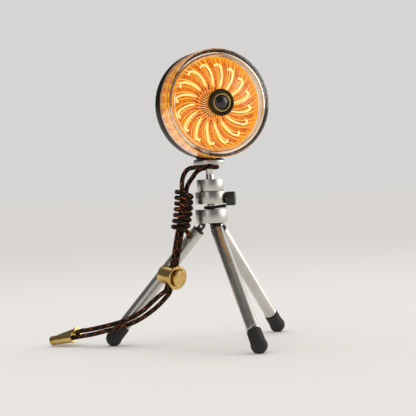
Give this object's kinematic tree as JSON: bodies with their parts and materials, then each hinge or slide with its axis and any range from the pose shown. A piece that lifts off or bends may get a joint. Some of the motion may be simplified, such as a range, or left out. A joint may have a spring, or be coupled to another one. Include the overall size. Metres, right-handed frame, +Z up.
{
  "type": "tripod lamp",
  "caption": "Small round lamp with a fluted amber reflector and face switch, on a ball-headed folding tripod with a corded lanyard and brass cord lock.",
  "frame": {"origin": "on the floor, in the middle of the box of the lamp and stand without the lanyard", "axes": "+Z up; the lamp's face looks along -Y; +X to the right seen from the front; the front leg points along -Y"},
  "size_m": [0.1923, 0.1718, 0.2274],
  "materials": {
    "satin_aluminium": "satin turned aluminium",
    "polished_steel": "polished, plated",
    "black_plastic": "black moulded",
    "black_rubber": "matt black",
    "lamp_shell": "dark anodised",
    "clear_glass": "clear, thick walled",
    "amber_reflector": "amber, fluted, lit",
    "filament": "light-guiding arms, lit",
    "dark_bronze": "dark bronze",
    "brass": "polished and lightly worn",
    "board": "off-white",
    "nylon": "natural white",
    "battery_wrap": "wrapped cell",
    "cord": "braided, brown and black fleck"
  },
  "bodies": {
    "stand": {"hub_shell": "satin_aluminium", "leg_yoke": "black_plastic", "hub_screw": "polished_steel", "neck_post": "polished_steel", "neck_band": "black_rubber", "socket_housing": "satin_aluminium", "cap_ring": "satin_aluminium", "lock_pad": "nylon", "front_pivot_pin": "polished_steel", "right_pivot_pin": "polished_steel", "left_pivot_pin": "polished_steel", "knot_wrap": "cord", "strand_rear": "cord", "strand_front": "cord", "stem_loop": "cord", "lock_barrel": "brass", "lock_spring": "polished_steel", "ferrule_front": "brass", "ferrule_rear": "brass"},
    "seat": {"ball_seat": "nylon"},
    "ball": {"ball_stem": "polished_steel"},
    "lamp_head": {"platform": "satin_aluminium", "platform_pad": "black_rubber", "camera_stud": "polished_steel", "rear_housing": "lamp_shell", "tripod_nut": "brass", "rear_cover": "lamp_shell", "battery": "battery_wrap", "led_board": "board", "seal_ring": "black_rubber", "glass_cup": "clear_glass", "fluted_reflector": "amber_reflector", "filament_ring": "filament", "centre_post": "brass", "centre_cap": "dark_bronze", "button_bezel": "brass", "button_spring": "polished_steel", "switch_body": "black_plastic"},
    "button": {"push_button": "black_plastic"},
    "knob": {"lock_knob": "black_plastic", "lock_screw": "polished_steel"},
    "plunger": {"lock_plunger": "brass"},
    "front_leg": {"front_knuckle": "black_plastic", "front_outer_tube": "satin_aluminium"},
    "front_extension": {"front_inner_tube": "polished_steel", "front_foot": "black_rubber"},
    "right_leg": {"right_knuckle": "black_plastic", "right_outer_tube": "satin_aluminium"},
    "right_extension": {"right_inner_tube": "polished_steel", "right_foot": "black_rubber"},
    "left_leg": {"left_knuckle": "black_plastic", "left_outer_tube": "satin_aluminium"},
    "left_extension": {"left_inner_tube": "polished_steel", "left_foot": "black_rubber"}
  },
  "joints": [
    {"name": "nod", "type": "hinge", "parent": "stand", "child": "seat", "pos_m": [0, 0.02047, 0.11987], "axis": [1, 0, 0], "range_deg": [-20, 20], "deforming": ["stem_loop"]},
    {"name": "lean", "type": "hinge", "parent": "seat", "child": "ball", "pos_m": [0, 0.02047, 0.11987], "axis": [0, 1, 0], "range_deg": [-15, 15], "deforming": ["stem_loop"]},
    {"name": "spin", "type": "hinge", "parent": "ball", "child": "lamp_head", "pos_m": [0, 0.02047, 0.13987], "axis": [0, 0, 1], "continuous": true},
    {"name": "lamp_button", "type": "slide", "parent": "lamp_head", "child": "button", "axis": [0, 1, 0], "range_m": [0, 0.0015], "stiffness_N_per_m": 300, "springref_m": -0.001, "deforming": ["button_spring"]},
    {"name": "lock_turn", "type": "hinge", "parent": "stand", "child": "knob", "pos_m": [0, 0.02047, 0.11237], "axis": [0.866, -0.5, 0], "range_deg": [0, 270]},
    {"name": "plunger_slide", "type": "slide", "parent": "stand", "child": "plunger", "axis": [-0.3703, 0.9119, 0.1771], "range_m": [0, 0.0022], "stiffness_N_per_m": 300, "springref_m": -0.001, "deforming": ["lock_spring"]},
    {"name": "front_fold", "type": "hinge", "parent": "stand", "child": "front_leg", "pos_m": [0, 0.01247, 0.09167], "axis": [1, 0, 0], "range_deg": [0, 40.7]},
    {"name": "front_slide", "type": "slide", "parent": "front_leg", "child": "front_extension", "axis": [0, -0.6526, -0.7577], "range_m": [0, 0.06]},
    {"name": "right_fold", "type": "hinge", "parent": "stand", "child": "right_leg", "pos_m": [0.00693, 0.02447, 0.09167], "axis": [-0.5, 0.866, 0], "range_deg": [0, 40.7]},
    {"name": "right_slide", "type": "slide", "parent": "right_leg", "child": "right_extension", "axis": [0.5652, 0.3263, -0.7577], "range_m": [0, 0.06]},
    {"name": "left_fold", "type": "hinge", "parent": "stand", "child": "left_leg", "pos_m": [-0.00693, 0.02447, 0.09167], "axis": [-0.5, -0.866, 0], "range_deg": [0, 40.7]},
    {"name": "left_slide", "type": "slide", "parent": "left_leg", "child": "left_extension", "axis": [-0.5652, 0.3263, -0.7577], "range_m": [0, 0.06]}
  ]
}
